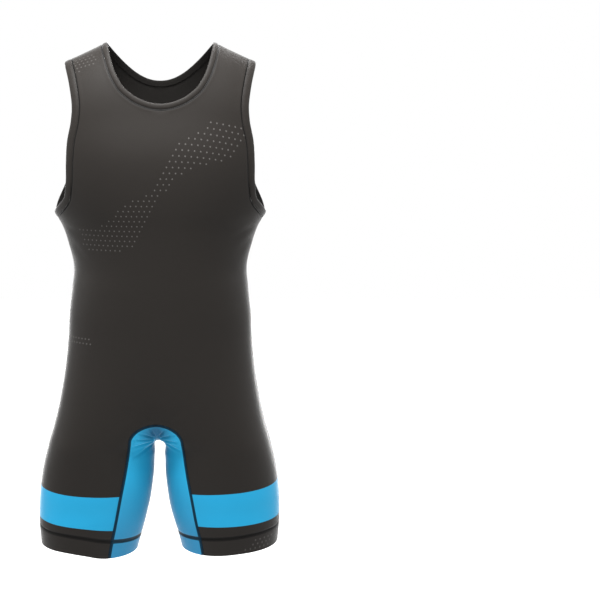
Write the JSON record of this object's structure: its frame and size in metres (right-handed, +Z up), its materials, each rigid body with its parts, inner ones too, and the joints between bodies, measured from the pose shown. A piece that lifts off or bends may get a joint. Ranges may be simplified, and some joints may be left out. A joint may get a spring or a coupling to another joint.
{
  "type": "triathlon suit",
  "caption": "Sleeveless one-piece stretch sports suit with a scooped neck, deep armholes, short legs and a contrasting inseam gusset, filled out as if worn.",
  "frame": {"origin": "midway between the neck corners of the two shoulder seams, where the wearer's shoulders carry the suit", "axes": "+Z up along the body, -Y out of the front, +X towards the wearer's left"},
  "size_m": [0.4416, 0.2305, 0.9115],
  "materials": {
    "front_cloth": "smooth charcoal stretch knit with a soft sheen, printed with pale dots and a blue band round each leg",
    "back_cloth": "smooth charcoal stretch knit with a soft sheen, printed with pale dots, a blue band across the upper back and a blue band round each leg",
    "inseam_cloth": "smooth blue stretch knit with a soft sheen",
    "binding": "charcoal stretch binding, folded double and stitched along its seam"
  },
  "bodies": {
    "root": {"front_panel": "front_cloth", "back_panel": "back_cloth", "inseam_panel": "inseam_cloth", "neck_band": "binding", "armhole_band_left": "binding", "armhole_band_right": "binding"}
  },
  "joints": []
}
